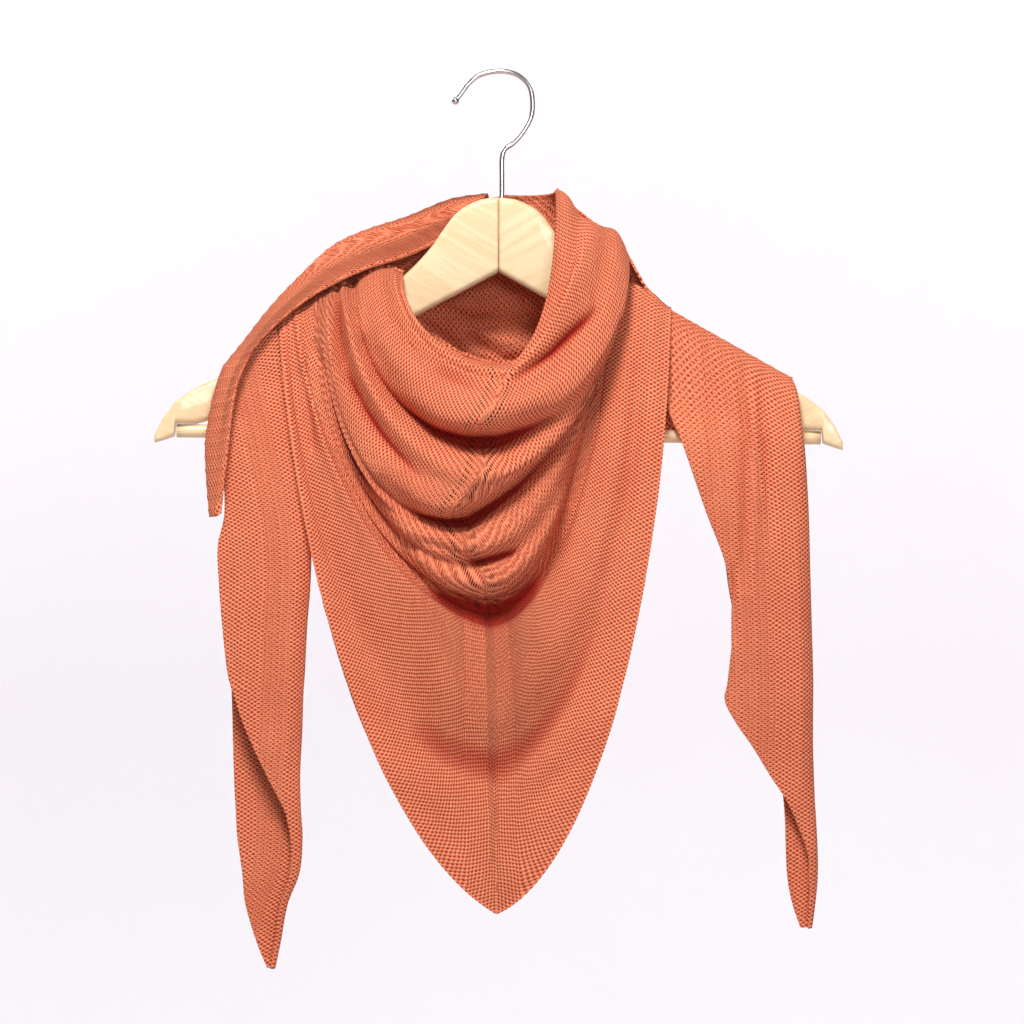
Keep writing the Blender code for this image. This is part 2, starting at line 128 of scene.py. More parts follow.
def new_finish(name, roughness, metallic=0.0, coat=0.0, sheen=0.0):
    """A material and its Principled shader, with the values that are the same all over."""
    made = bpy.data.materials.new(name)
    made.use_nodes = True
    shader = made.node_tree.nodes["Principled BSDF"]
    shader.inputs["Roughness"].default_value = roughness
    shader.inputs["Metallic"].default_value = metallic
    shader.inputs["Coat Weight"].default_value = coat
    shader.inputs["Sheen Weight"].default_value = sheen
    return made, shader


def node(tree, kind, inputs=(), **settings):
    """A shader node with its settings; an input is a value or another node's output."""
    made = tree.nodes.new(kind)
    for key, value in settings.items():
        setattr(made, key, value)
    for key, value in dict(inputs).items():
        if isinstance(value, bpy.types.NodeSocket):
            tree.links.new(value, made.inputs[key])
        else:
            made.inputs[key].default_value = value
    return made


def sums(tree, operation, a, b=0.0, c=0.0):
    """One step of arithmetic on values in a shader."""
    return node(tree, "ShaderNodeMath", {0: a, 1: b, 2: c}, operation=operation).outputs[0]


def chrome():
    """Polished metal whose roughness drifts a little, as handled chrome does."""
    made, shader = new_finish("chromed_wire", 0.12, metallic=1.0)
    tree = made.node_tree
    place = node(tree, "ShaderNodeTexCoord").outputs["Object"]
    smears = node(tree, "ShaderNodeTexNoise", {"Vector": place, "Scale": 180.0, "Detail": 3.0})
    drift = {"Value": smears.outputs["Fac"], "To Min": 0.08, "To Max": 0.24}
    rough = node(tree, "ShaderNodeMapRange", drift).outputs[0]
    tree.links.new(rough, shader.inputs["Roughness"])
    shader.inputs["Base Color"].default_value = CHROME_TINT
    return made


def hook_rings():
    """Rings round the wire's centre line; near the tip their radius follows a ball's outline."""
    dense = through(HOOK, 12)
    run = np.concatenate([[0], np.cumsum(np.linalg.norm(np.diff(dense, axis=0), axis=1))])
    wire = np.linspace(0, run[-1] - TIP_LENGTH, 150)
    tip = np.linspace(run[-1] - (TIP_LENGTH - 0.1), run[-1], 22)
    at = np.concatenate([wire, tip])
    middle = np.stack([np.interp(at, run, dense[:, i]) for i in range(2)], axis=1)
    direction = unit(np.gradient(middle, axis=0))
    side = np.stack([-direction[:, 1], direction[:, 0]], axis=1)
    to_ball = (run[-1] - BALL_RADIUS - at) / BALL_RADIUS
    ball = BALL_RADIUS * np.sqrt(np.clip(1 - to_ball**2, 0.0004, 1))
    radius = np.where(to_ball > 0, np.maximum(ball, WIRE_RADIUS), ball)
    radius = np.where(to_ball > 1, WIRE_RADIUS, radius)
    angle = np.linspace(0, 2 * np.pi, WIRE_SIDES + 1)[:-1]
    spread = radius[:, None] * np.cos(angle)
    x = middle[:, :1] + side[:, :1] * spread
    z = middle[:, 1:] + side[:, 1:] * spread
    y = radius[:, None] * np.sin(angle) + np.zeros_like(x)
    return np.stack([x, y, z], axis=2)


rings = hook_rings()
faces = tube_faces(*rings.shape[:2])
add_piece("wire_hook", rings.reshape(-1, 3), faces, chrome(), "hook")


# The hanger's arms: two pieces of maple, sawn to a swept shape, rounded over and glued together
# at the middle, with a small step and a thin tongue at each end. Clear satin lacquer.
HANGER_CENTRE = 1.2  # x of the glue line
HANGER_TILT = 0.011  # drop for each millimetre to the right
ARM_THICKNESS = 12.0
TONGUE_THICKNESS = 6.6
ARM_SWEEP = 25.0  # how far the tips lie in front of the centre
ARM_LENGTH = 219.5
GLUE_LINE = 0.2
EDGE_ROUNDING = 4.0
CORNER_POINTS = 7
DOME_END = 62  # where the curved dome round the hook goes over into the straight slope
DOME_ROWS = 8  # rows of the table in the dome
STEP_IN = 205  # where the arm thins towards the step before the tongue
TONGUE_START = 208
GRAIN_SCALE = 95.0
GRAIN_TURN = 0.52  # slope of the arms, which the grain follows
MAPLE_PALE = (0.8, 0.62, 0.38, 1)
MAPLE_DEEP = (0.66, 0.43, 0.21, 1)
# Distance from the centre, height of the upper side, height of the underside
ARM = (
    (0, -80, -128),
    (10, -81, -133.5),
    (20, -85, -139),
    (28, -91, -143.5),
    (35, -100, -147),
    (43, -111.5, -151.5),
    (52, -122, -156.5),
    (62, -132, -161.5),
    (100, -153.5, -181.5),
    (140, -176, -203),
    (182, -200, -225.5),
    (194, -205.5, -228.7),
    (206.6, -214.5, -228.7),
    (207.2, -215, -237),
    (214, -224, -239.5),
    (219.5, -236, -241),
)


def mixed(tree, factor, first, second):
    """A blend of two colours."""
    given = {"Factor": factor, "A": first, "B": second}
    return node(tree, "ShaderNodeMix", given, data_type="RGBA").outputs["Result"]


def bumped(tree, shader, height, strength, distance):
    """Feeds a height to a shader's normal."""
    given = {"Strength": strength, "Distance": distance, "Height": height}
    tree.links.new(node(tree, "ShaderNodeBump", given).outputs[0], shader.inputs["Normal"])


def wood_grain_group():
    """Grain drawn out along X, growth rings across it and pores, as a colour mask and a height."""
    tree = bpy.data.node_groups.new("wood_grain", "ShaderNodeTree")
    for name, kind in (("Place", "NodeSocketVector"), ("Grain Scale", "NodeSocketFloat")):
        tree.interface.new_socket(name=name, in_out="INPUT", socket_type=kind)
    for name in ("Figure", "Height"):
        tree.interface.new_socket(name=name, in_out="OUTPUT", socket_type="NodeSocketFloat")
    given = node(tree, "NodeGroupInput")
    drawn_out = node(
        tree, "ShaderNodeMapping", {"Vector": given.outputs["Place"], "Scale": (0.06, 1.0, 1.0)}
    ).outputs[0]
    scale = given.outputs["Grain Scale"]
    broad = node(tree, "ShaderNodeTexNoise", {"Vector": drawn_out, "Scale": scale, "Detail": 5.0})
    bands = sums(tree, "MULTIPLY", broad.outputs["Fac"], 26.0)
    bands = sums(tree, "MULTIPLY_ADD", sums(tree, "SINE", bands), 0.5, 0.5)
    finer = sums(tree, "MULTIPLY", scale, 14.0)
    pores = node(tree, "ShaderNodeTexNoise", {"Vector": drawn_out, "Scale": finer, "Detail": 2.0})
    strongest = {"Value": pores.outputs["Fac"], "From Min": 0.56, "From Max": 0.74}
    pores = node(tree, "ShaderNodeMapRange", strongest).outputs[0]
    figure = sums(tree, "MULTIPLY_ADD", bands, 0.45, sums(tree, "MULTIPLY", pores, 0.4))
    out = node(tree, "NodeGroupOutput", {"Figure": figure})
    tree.links.new(sums(tree, "MULTIPLY", pores, -1.0), out.inputs["Height"])
    return tree


def maple(name, turn):
    """Pale maple, its grain turned to run along the piece."""
    made, shader = new_finish(name, 0.42, coat=0.25)
    tree = made.node_tree
    place = node(tree, "ShaderNodeTexCoord").outputs["Object"]
    along = node(tree, "ShaderNodeMapping", {"Vector": place, "Rotation": (0, turn, 0)}).outputs[0]
    grain = node(tree, "ShaderNodeGroup", node_tree=wood_grain)
    grain.inputs["Grain Scale"].default_value = GRAIN_SCALE
    tree.links.new(along, grain.inputs["Place"])
    colour = mixed(tree, grain.outputs["Figure"], MAPLE_PALE, MAPLE_DEEP)
    tree.links.new(colour, shader.inputs["Base Color"])
    bumped(tree, shader, grain.outputs["Height"], 0.25, 0.0003)
    return made


def arm_middle(x):
    """How far forward the arms sweep: the square of the distance from the centre."""
    return -ARM_SWEEP * ((np.asarray(x, float) - HANGER_CENTRE) / ARM_LENGTH) ** 2


def arm_rings(side):
    """Rounded rectangles square to X from the glue line to the tip; the dome's top and underside
    are smooth curves, the tongue's steps stay sharp."""
    table = np.array(ARM, float)
    outline = np.concatenate([through(table[:DOME_ROWS], 8), table[DOME_ROWS:]])
    dome = np.linspace(0, DOME_END, 32)
    slope = np.arange(DOME_END + 4, STEP_IN, 4.0)
    tongue = np.linspace(TONGUE_START, ARM_LENGTH, 8)
    at = np.concatenate([dome, slope, (206.5, 207.3), tongue])
    at[0] = GLUE_LINE
    top, bottom = (np.interp(at, outline[:, 0], outline[:, i]) for i in (1, 2))
    corner = np.linspace(0, np.pi / 2, CORNER_POINTS)
    angle = np.concatenate([corner + quarter * np.pi / 2 for quarter in range(4)])
    sign_y = np.repeat((1, -1, -1, 1), CORNER_POINTS)
    sign_z = np.repeat((1, 1, -1, -1), CORNER_POINTS)
    full, thin = ARM_THICKNESS / 2, TONGUE_THICKNESS / 2
    thick = np.interp(at, (0, STEP_IN, ARM_LENGTH), (full, full, thin))[:, None]
    round_y = np.minimum(EDGE_ROUNDING, (top - bottom) * 0.4)[:, None].clip(None, thick * 0.8)
    half, middle = ((top - bottom) / 2)[:, None], ((top + bottom) / 2)[:, None]
    x = HANGER_CENTRE + side * at[:, None] + np.zeros(len(angle))
    y = arm_middle(x) + sign_y * (thick - round_y) + np.cos(angle) * round_y
    z = middle + sign_z * (half - round_y) + np.sin(angle) * round_y
    return np.stack([x, y, z - HANGER_TILT * (x - HANGER_CENTRE)], axis=2)


wood_grain = wood_grain_group()
for name, side in (("left", -1), ("right", 1)):
    rings = arm_rings(side)
    add_piece(
        f"maple_arm_{name}",
        rings.reshape(-1, 3),
        tube_faces(*rings.shape[:2]),
        maple(f"maple_{name}", side * GRAIN_TURN),
        f"hanger_arm_{name}",
    )


# The trouser bar: a turned maple dowel pushed into blind holes in both arms.
BAR_RADIUS = 4.3
BAR_SIDES = 32
BAR_LENGTH = 412.0
BAR_HEIGHT = -233.3
BAR_FORWARD = -20.0

at = np.linspace(-0.5, 0.5, 60)[:, None] * BAR_LENGTH
angle = np.linspace(0, 2 * np.pi, BAR_SIDES + 1)[:-1]
rings = np.stack(
    [
        HANGER_CENTRE + at + 0 * angle,
        BAR_FORWARD + BAR_RADIUS * np.cos(angle) + 0 * at,
        BAR_HEIGHT + BAR_RADIUS * np.sin(angle) - HANGER_TILT * at,
    ],
    axis=2,
)
faces, dowel = tube_faces(*rings.shape[:2]), maple("maple_dowel", 0.0)
add_piece("maple_bar", rings.reshape(-1, 3), faces, dowel, "trouser_bar")


# The front of the shawl: one knitted cloth, hung over both arms in a cowl of deep swags with the
# point below. Fine wool, plain stitch with purl ridges between wide stretches of garter stitch.
WALL = 1.6  # thickness of the cloth
REST = 2.8  # from the middle of the cloth to the wood it rests on
ARM_BEND = 4.5  # height over which the cloth turns down from an arm's top
BEND_POWER = 2.6  # of that turn's outline, a squared-off ellipse
BAR_ABOVE = 40  # height above the bar at which the cloth begins to clear it
BAR_BLEND = 30
POCKET = 20.5  # fold line at which the cowl ends and the flat point begins
POCKET_ROWS = 1.3  # how far the shadow in it reaches, in fold lines
POCKET_CENTRE = -6
POCKET_HALF_WIDTH = 38
BORDER = 98.0  # depth of garter stitch from the cowl's neck edge and from the point's lower edge
PLAIN_END = 190.0  # distance from the neck edge at which garter stitch begins again
NEVER = 900.0  # a distance past the cloth, for one that has no second garter stretch
RIDGE_PITCH = 11.5  # from one purl ridge to the next
RIDGE_HEIGHT = 0.3
DRAPE_DEPTH = -60.0  # y of the folds' common depth
DRAPE_QUICKNESS = 0.52  # how soon a fold reaches it: a power of the way, quicker if small
# Fold lines: left x, lift above the arm; lowest point x, y, z; right x, lift; fullness left and
# right; inward dip of the left and the right side
FRONT = (
    (-61, 1.5, 2, -46, -191, 38, 28, 0.95, 1.1, 0, 3),
    (-62.5, 3.5, 3, -57, -194, 45, 34, 0.95, 1.05, 0, 4),
    (-64.5, 5.5, 5, -60, -201, 53, 31, 0.95, 0.75, 1, 3),
    (-67, 8.5, 4, -67, -201, 62, 34.5, 0.92, 0.4, 2, -1),
    (-71, 10.5, 0, -72, -208, 68, 36, 0.95, 1.0, 3, 3),
    (-77, 13, -3, -84, -217, 77, 38, 0.95, 1.05, 0, 0),
    (-87, 13, -12, -82, -228, 84, 27.5, 1.05, 1.05, 0, -2),
    (-91, 9.5, -9, -60, -237, 83.5, 22, 1.0, 1.0, 4, 0),
    (-95, 11.5, -10, -66, -247, 82, 20.5, 0.9, 1.0, 0, 2.5),
    (-99, 15.5, -12, -80, -260, 80.5, 19.3, 0.85, 0.96, -3, 4),
    (-102, 13.5, -18, -80, -268, 79, 18.4, 0.9, 0.92, 6, 5.5),
    (-105, 16.5, -22, -79, -274, 77.5, 17.6, 1.0, 0.86, 0, 6.5),
    (-107.5, 18, -28, -76, -281, 75, 17, 1.12, 0.8, 0, 7.5),
    (-109.5, 17, -28, -60, -289, 73.5, 16.2, 1.06, 0.85, 0, 8),
    (-111.5, 18, -22, -66, -297, 72, 15.5, 1.08, 0.9, 0, 9),
    (-113, 18.5, -20, -73, -308, 69.8, 14.8, 1.05, 0.95, 0, 10),
    (-114.5, 17.5, -14, -62, -317, 68, 13.8, 1.0, 1.0, 1, 11),
    (-116, 18.5, -8, -68, -327, 66.5, 12.2, 1.0, 1.0, 0, 12.5),
    (-117.5, 18, -8, -60, -335, 65.6, 10.6, 0.95, 1.0, 0, 13.5),
    (-119, 17, -7, -46, -338, 66.4, 9.2, 0.92, 1.0, 0, 15),
    (-123, 16.5, -6, -43, -345, 69.2, 8.4, 0.87, 1.0, 0, 15.5),
    (-126.5, 17, -5, -51, -354, 72.5, 8.4, 0.8, 0.97, 0, 15),
    (-129.5, 19, -4, -63, -360, 75, 9.5, 0.75, 0.93, -3, 12),
    (-131.5, 17.5, -3, -69, -385, 82, 10, 0.72, 0.87, -2, 6),
    (-133.5, 18.5, -2, -70, -412, 89, 11, 0.75, 0.84, -2, 2),
    (-135.5, 17.5, -2, -61, -442, 95, 11.5, 0.8, 0.9, -3, 0),
    (-137, 18, -1, -66, -478, 101, 11.5, 0.75, 0.85, -8, -5),
    (-138, 17, 0, -68, -512, 107, 9, 0.72, 0.82, -12, -7),
    (-139, 15, 0, -65, -535, 111.5, 8, 0.7, 0.82, -13, -8),
)
# Creases: rows from and to, half width, depth (inwards if positive), then x and z of points along
FRONT_CREASES = (
    (20, 28, 3.5, 3.5, (-126, -195), (-117, -245)),
    (20, 28, 7, 1.5, (-133, -215), (-108, -330)),
    (20, 28, 5, 2.5, (89, -190), (82, -290)),
    (20, 28, 6, -1.5, (102, -190), (98, -300)),
    (20, 28, 6, -1.5, (76, -230), (60, -330)),
    (20, 28, 14, 3.5, (-99, -339), (-90, -385), (-75, -410), (-60, -425), (-15, -440)),
    (20, 28, 14, 3.5, (8, -440), (30, -420), (45, -395), (60, -360)),
    (20, 28, 9, -2.5, (-110, -345), (-98, -400), (-70, -440)),
    (20, 28, 9, -2.5, (95, -330), (84, -390), (62, -425)),
    (20, 28, 8, -2, (-40, -365), (-30, -430)),
    (20, 28, 8, 2, (-55, -460), (-15, -500)),
    (20, 28, 8, 2, (22, -465), (55, -430)),
    (20, 24, 2.5, 4, (-122.3, -190.5), (-120.3, -207), (-116.8, -227.5), (-115.5, -242.6)),
    (14, 22, 2.5, 4, (-116.5, -175.6), (-108.3, -193.4), (-104.2, -209.8), (-101.5, -219.4)),
    (14, 24, 6, 14, (-99, -219), (-97.6, -226.5), (-90.1, -249.7), (-81.9, -268.8), (-71, -287.8),
     (-60.1, -305.6), (-47.8, -320.6)),
    (14, 24, 5, 12, (32.6, -325.7), (40.7, -300.1), (46.2, -275.6), (55.7, -234.7)),
    (0, 20, 6.5, 11, (-84, -177), (-73.8, -194.5), (-58.2, -214.7), (-40.7, -232.3), (-19, -240.5),
     (1.3, -239.8), (28.3, -223.5)),
    (0, 5, 6, 3, (-38, -196), (-14, -204)),
    (0, 4, 2.5, 2, (-76.4, -139.3), (-60.1, -173.4), (-45.1, -193.8), (-32.8, -207.5)),
    (0, 6, 3.5, 6, (61.2, -157), (47.5, -169.3), (33.9, -182.9), (12.1, -199.3)),
    (2, 7, 5, 3, (-84.2, -140), (-82.8, -160.3), (-77.4, -178), (-66.5, -194.2), (-53, -205.1)),
    (3, 12, 3.5, 7, (-101.6, -151.6), (-101, -174.8), (-97.6, -192.5), (-90.1, -207.5)),
    (7, 13, 3, 3, (-93.4, -199.9), (-84, -217.5), (-71.8, -235), (-44.7, -266.2)),
    (8, 16, 5, 10, (-71.8, -264.8), (-46.1, -285.1), (-31.2, -290.5), (-17.7, -290.5),
     (12.1, -267.5), (41.9, -237.7)),
    (6, 20, 3.5, 7, (76, -161.7), (68.5, -182.9), (59.7, -203.6), (44.7, -233)),
    (13, 18, 4, 8, (-54.3, -300.7), (-39.4, -304.1), (-12.3, -313.6), (9.4, -308.2)),
    (14, 20, 6, -2, (-40, -300), (5, -325)),
)
FOLD_SHADE_DEPTH = 8.0  # depth in a fold at which the painted shade is at its darkest red
RIM_ROLL = 0.9  # share by which the rolled rim is thicker than the wall
RIM_WIDTH = 1.6
KNIT_LIGHT = (0.9, 0.3, 0.16, 1)  # top of a strand
STRAND_GAP_SHADE = (0.38, 0.028, 0.011, 1)  # painted shade between strands
# painted shade: the dark red that deep folds are coloured
FOLD_SHADE_RED = (0.34, 0.01, 0.006, 1)
# painted shade seen through the eyelet holes
EYELET_SHADE = (0.07, 0.004, 0.003, 1)
EYELETS_BESIDE = 6.5  # distance of the eyelets from the spine
EYELETS_WIDTH = 2.0
GAUGE = 2.7  # width of a stitch
ROW_HEIGHT = 2.1  # height of a row of stitches
PLAIN_ROUGHNESS = 0.4  # share of the purl side's beads that shows in plain stitch
SPINE_COLUMNS = 5  # columns of the grid from the spine to where each half goes on straight
UV_SCALE = 0.01  # the maps count in units of 100 mm


def arm_top(x):
    """Height of the arm's upper side."""
    distance, top, _ = np.transpose(ARM)
    away = np.asarray(x, float) - HANGER_CENTRE
    return np.interp(np.abs(away), distance, top) - HANGER_TILT * away


def crest(x, lift, side):
    """Points above the top of the arm, just in front of its middle or behind it."""
    return np.stack([x, arm_middle(x) + side * 0.2, arm_top(x) + lift], axis=1)


def hang(end, low, fullness, dip, depth, quickness, u):
    """Fold lines from their ends, at u = 0, to their lowest points, at u = 1.

    In the front view each is a blend of a straight line and a quarter ellipse. From the side it
    leaves the arm to the common depth, the quicker the smaller the power, and its own fold grows
    with a power of the way. Points are closer together near the arm.
    """
    t = u**1.5
    angle = t * np.pi / 2
    straight, round_x, round_z = t, 1 - np.cos(angle), np.sin(angle)
    f = fullness[:, None]
    x = end[:, 0, None] + (low[:, 0] - end[:, 0])[:, None] * ((1 - f) * straight + f * round_x)
    z = end[:, 2, None] + (low[:, 2] - end[:, 2])[:, None] * ((1 - f) * straight + f * round_z)
    y = end[:, 1, None] + (depth - end[:, 1])[:, None] * np.sin(angle) ** quickness
    y = y + (low[:, 1] - depth)[:, None] * t**2.3
    y = y + dip[:, None] * np.sin(np.pi * t**0.7)
    return np.stack([x, y, z], axis=2)


def clear_of_hanger(points, side):
    """Keeps cloth off the hanger, in front of it (side -1) or behind: it bends over the arm."""
    points = points.copy()
    x, y, z = np.moveaxis(points, -1, 0)
    below = (arm_top(x) + REST - z).clip(0, ARM_BEND) / ARM_BEND
    bend = (1 - (1 - below) ** BEND_POWER) ** (1 / BEND_POWER)
    reach = (ARM_THICKNESS / 2 + REST) * bend
    limit = arm_middle(x) + side * reach
    if side < 0:
        bar_front = BAR_FORWARD - BAR_RADIUS - REST
        near_bar = ((BAR_HEIGHT + BAR_ABOVE - z) / BAR_BLEND).clip(0, 1)
        limit = np.minimum(limit, limit + (bar_front - limit) * near_bar)
    points[..., 1] = np.where(side * (limit - y) > 0, limit, y)
    return points


def front_grid(first, last, steps_down, steps_across):
    """Fold lines first to last, closer together by a spline between the table's rows."""
    count = int((last - first) * steps_down) + 1
    table = spline(FRONT, np.linspace(first, last, count))
    left_x, left_lift, low_x, low_y, low_z, right_x, right_lift = table[:, :7].T
    full_left, full_right, dip_left, dip_right = table[:, 7:].T
    low = np.stack([low_x, low_y, low_z], axis=1)
    u = np.linspace(0, 1, steps_across + 1)
    drape = DRAPE_DEPTH, DRAPE_QUICKNESS
    left = hang(crest(left_x, left_lift, -1), low, full_left, dip_left, *drape, u)
    right = hang(crest(right_x, right_lift, -1), low, full_right, dip_right, *drape, u[:-1])
    return np.concatenate([left, right[:, ::-1]], axis=1), np.linspace(first, last, count)


def creased(points, row_numbers, creases):
    """Soft valleys and ridges along lines in x and z, fading at both ends."""
    points = points.copy()
    place = points[..., (0, 2)]
    for row_from, row_to, width, depth, *line in creases:
        line = np.array(line, float)
        lengths = np.linalg.norm(np.diff(line, axis=0), axis=1)
        before = np.concatenate([[0], np.cumsum(lengths)])
        nearest, swell = np.full(place.shape[:-1], np.inf), np.zeros(place.shape[:-1])
        for start, end, length, passed in zip(line[:-1], line[1:], lengths, before):
            share = ((place - start) @ (end - start) / length**2).clip(0, 1)
            away = np.linalg.norm(place - start - share[..., None] * (end - start), axis=-1)
            along = (passed + share * length) / before[-1]
            swell = np.where(away < nearest, np.sin(np.pi * (0.08 + 0.84 * along)) ** 0.6, swell)
            nearest = np.minimum(nearest, away)
        inside = ((row_numbers >= row_from) & (row_numbers <= row_to))[:, None]
        points[..., 1] += inside * depth * swell * np.exp(-((nearest / width) ** 2))
    return points


def painted_fold_shade(points, reach):
    """How far each point lies behind the rows above and below it, from 0 to 1: the strength of
    the painted shade in the folds.
    """
    depth = np.pad(points[..., 1], ((reach + 1, reach), (0, 0)), mode="edge")
    total = np.cumsum(depth, axis=0)
    around = (total[2 * reach + 1 :] - total[: -2 * reach - 1]) / (2 * reach + 1)
    return ((points[..., 1] - around) / FOLD_SHADE_DEPTH).clip(0, 1)


def surface_normals(middle, level_ends=()):
    """Unit normals of a grid, square to Y in the columns where the cloth passes over an arm."""
    normal = np.cross(np.gradient(middle, axis=1), np.gradient(middle, axis=0))
    for column in level_ends:
        normal[:, column, 1] = 0
    return unit(normal)


def knit_places(middle, centre, from_row, start=0):
    """Where each point lies in the flat knitting: along the row and across the rows.

    Lengths along a row count from the spine in the starting row. From row to row they keep to the
    stitch columns, which are square to the rows. Beside the spine each half goes on straight, so
    that the columns of the two halves meet there in a V. Without a starting row every row keeps
    its true lengths, only the way beside the spine is kept to the columns, and rows count from
    the first.
    """
    along = unit(np.gradient(middle, axis=1))
    step = np.diff(middle, axis=0)
    slip = np.sum(step * along[:-1], axis=2)
    square = np.linalg.norm(step - slip[..., None] * along[:-1], axis=2)
    across = np.concatenate([np.zeros((1, middle.shape[1])), np.cumsum(square, axis=0)])
    run = np.linalg.norm(np.diff(middle, axis=1), axis=2)
    length = np.concatenate([np.zeros((len(middle), 1)), np.cumsum(run, axis=1)], axis=1)
    length -= length[:, centre : centre + 1]
    slipped = np.concatenate([np.zeros((1, middle.shape[1])), np.cumsum(slip, axis=0)])
    if start is None:
        beside = slipped[:, (centre - SPINE_COLUMNS, centre + SPINE_COLUMNS)].T[..., None]
        return length + beside, across, length
    u = length[start] + slipped - slipped[start]
    halves = np.stack([u, u])
    if centre:
        left, right = centre - SPINE_COLUMNS, centre + SPINE_COLUMNS
        halves[0, :, left:] = u[:, left, None] + length[:, left:] - length[:, left, None]
        halves[1, :, :right] = u[:, right, None] + length[:, :right] - length[:, right, None]
    if from_row == "last":
        across = across[-1] - across
    return halves, across, length


def relief(v, ridge_pitch, ridge_height):
    """Height of the raised purl ridges at a distance from the edge: a rounded line each pitch."""
    from_line = np.abs((v / ridge_pitch) % 1 - 0.5) * ridge_pitch
    return ridge_height * np.exp(-((from_line / 1.3) ** 2))


def add_cloth(name, middle, normal, finish, stands_for, places, fold_shade, centre=0, from_rim=None):
    """A closed wall of cloth with two UV maps: "knit" holds the place in the stitches in units of
    100 mm, "place" the distance from the spine and from the edge. The attribute "fold_shade" holds
    how deep each point lies in a fold, which the material paints as shade."""
    rows, columns = middle.shape[:2]
    count = rows * columns
    if from_rim is None:
        from_rim = np.minimum(places[1] - places[1].min(), places[1].max(axis=0) - places[1])
    roll = RIM_ROLL * np.exp(-((from_rim / RIM_WIDTH) ** 2))
    half_wall = normal * (WALL / 2 * (1 + roll))[..., None]
    outer = (middle + half_wall).reshape(-1, 3)
    inner = (middle - half_wall).reshape(-1, 3)
    at = np.arange(count).reshape(rows, columns)
    skin = np.stack([at[:-1, :-1], at[:-1, 1:], at[1:, 1:], at[1:, :-1]], axis=-1).reshape(-1, 4)
    edge = np.concatenate([at[0, :-1], at[:-1, -1], at[-1, :0:-1], at[:0:-1, 0]])
    after = np.roll(edge, -1)
    rim = np.stack([edge, after, after + count, edge + count], axis=1)
    faces = np.concatenate([skin[:, ::-1], skin + count, rim])
    points = np.concatenate([outer, inner])
    piece = add_piece(name, points, faces, finish, stands_for)
    mesh = piece.data
    deep = mesh.attributes.new("fold_shade", "FLOAT", "POINT")
    deep.data.foreach_set("value", np.tile(fold_shade.ravel(), 2).astype(np.float32))
    corners = np.zeros(len(mesh.loops), int)
    mesh.loops.foreach_get("vertex_index", corners)
    corner = corners % count
    first = np.arange(len(faces)).repeat(4)
    face_column = (corner.reshape(-1, 4) % columns).min(axis=1)[first]
    u, v, from_spine = places
    half = (face_column >= centre).astype(int) if centre else np.zeros(len(corner), int)
    u_corner = u.reshape(2, -1)[half, corner] if u.ndim == 3 else u.reshape(-1)[corner]
    v_corner = v.reshape(-1)[corner]
    for map_name, pair in (
        ("knit", (u_corner, v_corner)),
        ("place", (from_spine.reshape(-1)[corner], v_corner)),
    ):
        layer = mesh.uv_layers.new(name=map_name)
        layer.data.foreach_set("uv", np.stack(pair, axis=1).ravel() * UV_SCALE)
    return piece


def ramp(tree, value, start, end, at_start, at_end):
    """Goes in a straight line from one value to another while the input goes from start to end."""
    given = {"Value": value, "From Min": start, "From Max": end, "To Min": at_start, "To Max": at_end}
    return node(tree, "ShaderNodeMapRange", given).outputs[0]


def noise(tree, place, scale, detail, strength, level):
    """Random relief of a strength, round a level."""
    given = {"Vector": place, "Scale": scale, "Detail": detail}
    made = node(tree, "ShaderNodeTexNoise", given).outputs["Fac"]
    return sums(tree, "MULTIPLY_ADD", made, strength, level)


def off_middle(tree, value):
    """Distance of a value from the middle of its cell, up to a half."""
    cell = sums(tree, "FRACT", value)
    return sums(tree, "ABSOLUTE", sums(tree, "SUBTRACT", cell, 0.5))


